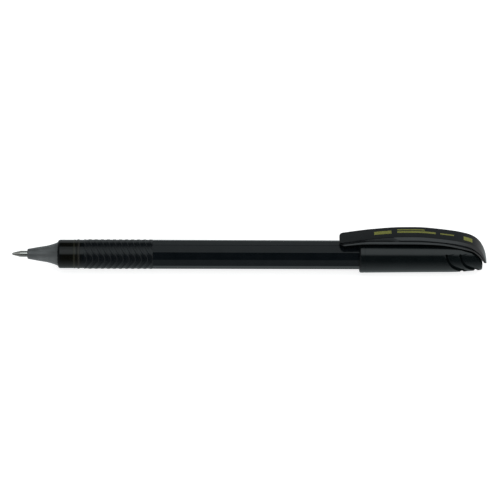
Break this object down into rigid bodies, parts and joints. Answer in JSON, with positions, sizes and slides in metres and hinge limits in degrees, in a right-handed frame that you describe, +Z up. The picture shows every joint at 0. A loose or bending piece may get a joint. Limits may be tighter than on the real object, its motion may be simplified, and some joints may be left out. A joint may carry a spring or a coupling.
{
  "type": "gel pen",
  "caption": "Capped stick gel pen with a twelve-sided smoke barrel, chevron-ribbed grip, clear nose cone, metal point and a clip cap posted on the back.",
  "frame": {"origin": "middle of the bounding box, at its lowest level, which is the bottom of the cap's lip", "axes": "+X along the pen from the ball to the cap's end, +Z up through the clip"},
  "size_m": [0.1636, 0.0124, 0.016],
  "materials": {
    "ball_steel": "polished",
    "point_metal": "turned nickel silver",
    "spring_wire": "bright wire",
    "nose_smoke": "clear smoke grey",
    "tube_clear": "natural translucent",
    "ink": "wet black",
    "grease": "translucent",
    "barrel_smoke": "deep smoke, satin gloss",
    "plug_black": "satin",
    "cap_black": "gloss",
    "liner": "natural",
    "seal_rubber": "matt",
    "clip_black": "gloss",
    "clip_marks": "pad print"
  },
  "bodies": {
    "barrel": {"barrel": "barrel_smoke", "end_plug": "plug_black"},
    "refill": {"nose_cone": "nose_smoke", "tip_body": "point_metal", "tip_spring": "spring_wire", "ink_tube": "tube_clear", "ink": "ink", "follower": "grease"},
    "ball": {"ball": "ball_steel"},
    "cap": {"cap_shell": "cap_black", "inner_cap": "liner", "tip_seal": "seal_rubber"},
    "clip": {"clip": "clip_black"}
  },
  "joints": [
    {"name": "cap_slide", "type": "slide", "parent": "barrel", "child": "cap", "axis": [1, 0, 0], "range_m": [0, 0.04]},
    {"name": "clip_flex", "type": "hinge", "parent": "cap", "child": "clip", "pos_m": [0.0772, 0, 0.00888], "axis": [0, 1, 0], "range_deg": [0, 3.5], "stiffness_Nm_per_rad": 0.3},
    {"name": "refill_slide", "type": "slide", "parent": "barrel", "child": "refill", "axis": [-1, 0, 0], "range_m": [0, 0.118]},
    {"name": "ball_roll", "type": "hinge", "parent": "refill", "child": "ball", "pos_m": [-0.08145, 0, 0.00618], "axis": [0, 1, 0], "continuous": true}
  ]
}
